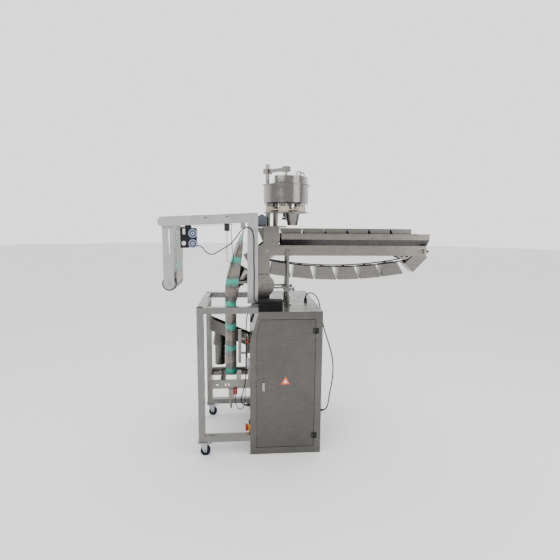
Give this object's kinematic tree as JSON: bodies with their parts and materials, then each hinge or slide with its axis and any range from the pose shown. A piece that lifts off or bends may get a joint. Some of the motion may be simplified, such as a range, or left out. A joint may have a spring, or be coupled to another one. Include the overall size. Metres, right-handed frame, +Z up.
{
  "type": "vertical form fill sealer",
  "caption": "Upright bagging machine: cabinet, wheeled tube frame, film arm with forming tube, rotary cup filler and an infeed conveyor of buckets on a chain.",
  "frame": {"origin": "centre of the cabinet's base, on the floor", "axes": "+X towards the conveyor's tail, -X the operator's side, +Y away from the near door, +Z up"},
  "size_m": [1.8115, 0.817, 1.922],
  "materials": {
    "stainless": "brushed",
    "frame_steel": "satin",
    "light_alloy": "satin",
    "chrome": "polished",
    "black_plastic": "matte",
    "red_plastic": "gloss",
    "green_plastic": "gloss",
    "navy_paint": "satin",
    "film": "translucent",
    "cup_plastic": "matte",
    "tyre_rubber": "matte",
    "zinc": "plated",
    "cable_rubber": "matte",
    "chain_steel": "oiled",
    "motor_paint": "satin"
  },
  "bodies": {
    "machine": {"cabinet_shell": "stainless", "far_cover": "stainless", "hinge_frame_leaves": "black_plastic", "electrical_units": "black_plastic", "main_gearmotor": "motor_paint", "operator_panel": "black_plastic", "control_box": "black_plastic", "tube_frame": "frame_steel", "caster_plates": "zinc", "columns": "light_alloy", "film_beams": "light_alloy", "film_arms": "light_alloy", "film_strip": "film", "film_sleeve": "film", "forming_tube": "stainless", "chute_bracket": "light_alloy", "coder_body": "navy_paint", "colour_mark_sensor": "black_plastic", "jaw_frame": "frame_steel", "discharge_channel": "frame_steel", "air_valve": "stainless", "conveyor_near_panel": "stainless", "conveyor_far_panel": "stainless", "conveyor_chain": "chain_steel", "conveyor_buckets": "stainless", "conveyor_legs": "stainless", "support_rods": "chrome", "filler_base": "stainless", "cover_post": "chrome", "filler_cover": "stainless", "filler_gearmotor": "motor_paint", "coder_cable": "cable_rubber", "front_cable": "cable_rubber", "side_cable": "cable_rubber", "sensor_cable": "cable_rubber", "heater_cable": "cable_rubber"},
    "door": {"near_door": "stainless"},
    "lock": {"door_lock_lever": "stainless"},
    "e_stop": {"e_stop_button": "red_plastic"},
    "start": {"start_button": "green_plastic"},
    "main_switch": {"main_switch_knob": "red_plastic"},
    "entry_roller": {"entry_roller": "chrome"},
    "exit_roller": {"exit_roller": "chrome"},
    "film_roll": {"film_roll": "film"},
    "upper_spool": {"coder_spool_upper": "black_plastic"},
    "lower_spool": {"coder_spool_lower": "black_plastic"},
    "sealer": {"vertical_sealer": "frame_steel"},
    "front_jaw": {"front_jaw": "frame_steel"},
    "rear_jaw": {"rear_jaw": "frame_steel"},
    "valve_lever": {"air_valve_lever": "black_plastic"},
    "head_shaft": {"conveyor_head_shaft": "stainless"},
    "tail_shaft": {"conveyor_tail_shaft": "stainless"},
    "bowl": {"filler_bowl": "stainless"},
    "cups": {"measuring_cups": "cup_plastic"},
    "near_fork": {"near_caster_fork": "zinc"},
    "near_wheel": {"near_caster_wheel": "tyre_rubber"},
    "near_pedal": {"near_brake_pedal": "zinc"},
    "far_fork": {"far_caster_fork": "zinc"},
    "far_wheel": {"far_caster_wheel": "tyre_rubber"},
    "far_pedal": {"far_brake_pedal": "zinc"}
  },
  "joints": [
    {"name": "door_hinge", "type": "hinge", "parent": "machine", "child": "door", "pos_m": [0.1855, -0.4055, 0.472], "axis": [0, 0, 1], "range_deg": [0, 110]},
    {"name": "lock_turn", "type": "hinge", "parent": "door", "child": "lock", "pos_m": [-0.145, -0.4, 0.472], "axis": [0, 1, 0], "range_deg": [0, 90]},
    {"name": "e_stop_press", "type": "slide", "parent": "machine", "child": "e_stop", "axis": [1, 0, 0], "range_m": [0, 0.004], "stiffness_N_per_m": 800},
    {"name": "start_press", "type": "slide", "parent": "machine", "child": "start", "axis": [1, 0, 0], "range_m": [0, 0.004], "stiffness_N_per_m": 400},
    {"name": "main_switch_turn", "type": "hinge", "parent": "machine", "child": "main_switch", "pos_m": [-0.236, -0.3, 0.137], "axis": [1, 0, 0], "range_deg": [0, 90]},
    {"name": "near_swivel", "type": "hinge", "parent": "machine", "child": "near_fork", "pos_m": [-0.54, -0.38, 0.08], "axis": [0, 0, 1], "continuous": true},
    {"name": "near_wheel_roll", "type": "hinge", "parent": "near_fork", "child": "near_wheel", "pos_m": [-0.52, -0.38, 0.0315], "axis": [0, 1, 0], "continuous": true},
    {"name": "near_pedal_turn", "type": "hinge", "parent": "near_fork", "child": "near_pedal", "pos_m": [-0.512, -0.38, 0.072], "axis": [0, 1, 0], "range_deg": [-8, 0]},
    {"name": "far_swivel", "type": "hinge", "parent": "machine", "child": "far_fork", "pos_m": [-0.54, 0.18, 0.08], "axis": [0, 0, 1], "continuous": true},
    {"name": "far_wheel_roll", "type": "hinge", "parent": "far_fork", "child": "far_wheel", "pos_m": [-0.52, 0.18, 0.0315], "axis": [0, 1, 0], "continuous": true},
    {"name": "far_pedal_turn", "type": "hinge", "parent": "far_fork", "child": "far_pedal", "pos_m": [-0.512, 0.18, 0.072], "axis": [0, 1, 0], "range_deg": [-8, 0]},
    {"name": "entry_roller_spin", "type": "hinge", "parent": "machine", "child": "entry_roller", "pos_m": [-0.6868, -0.1, 1.45536], "axis": [0, 1, 0], "continuous": true},
    {"name": "exit_roller_spin", "type": "hinge", "parent": "machine", "child": "exit_roller", "pos_m": [-0.276, -0.1, 1.47689], "axis": [0, 1, 0], "continuous": true},
    {"name": "film_roll_spin", "type": "hinge", "parent": "machine", "child": "film_roll", "pos_m": [-0.75, -0.1, 1.104], "axis": [0, 1, 0], "continuous": true},
    {"name": "upper_spool_spin", "type": "hinge", "parent": "machine", "child": "upper_spool", "pos_m": [-0.589, -0.272, 1.43], "axis": [0, 1, 0], "continuous": true},
    {"name": "lower_spool_spin", "type": "hinge", "parent": "machine", "child": "lower_spool", "pos_m": [-0.589, -0.272, 1.366], "axis": [0, 1, 0], "continuous": true},
    {"name": "sealer_press", "type": "slide", "parent": "machine", "child": "sealer", "axis": [-1, 0, 0], "range_m": [0, 0.01]},
    {"name": "front_jaw_close", "type": "slide", "parent": "machine", "child": "front_jaw", "axis": [1, 0, 0], "range_m": [0, 0.0365]},
    {"name": "rear_jaw_close", "type": "slide", "parent": "machine", "child": "rear_jaw", "axis": [-1, 0, 0], "range_m": [0, 0.0365]},
    {"name": "valve_lever_turn", "type": "hinge", "parent": "machine", "child": "valve_lever", "pos_m": [-0.246, -0.29, 0.585], "axis": [0, 1, 0], "range_deg": [-90, 0]},
    {"name": "head_shaft_spin", "type": "hinge", "parent": "machine", "child": "head_shaft", "pos_m": [-0.115, -0.1, 1.315], "axis": [0, 1, 0], "continuous": true},
    {"name": "tail_shaft_spin", "type": "hinge", "parent": "machine", "child": "tail_shaft", "pos_m": [0.834, -0.1, 1.315], "axis": [0, 1, 0], "continuous": true},
    {"name": "bowl_spin", "type": "hinge", "parent": "machine", "child": "bowl", "pos_m": [0.024, 0.01, 1.6], "axis": [0, 0, 1], "continuous": true},
    {"name": "cup_volume", "type": "slide", "parent": "bowl", "child": "cups", "axis": [0, 0, 1], "range_m": [0, 0.012]}
  ],
  "couplings": [
    {"joint": "rear_jaw_close", "follows": "front_jaw_close", "ratio": 1},
    {"joint": "tail_shaft_spin", "follows": "head_shaft_spin", "ratio": 1}
  ]
}
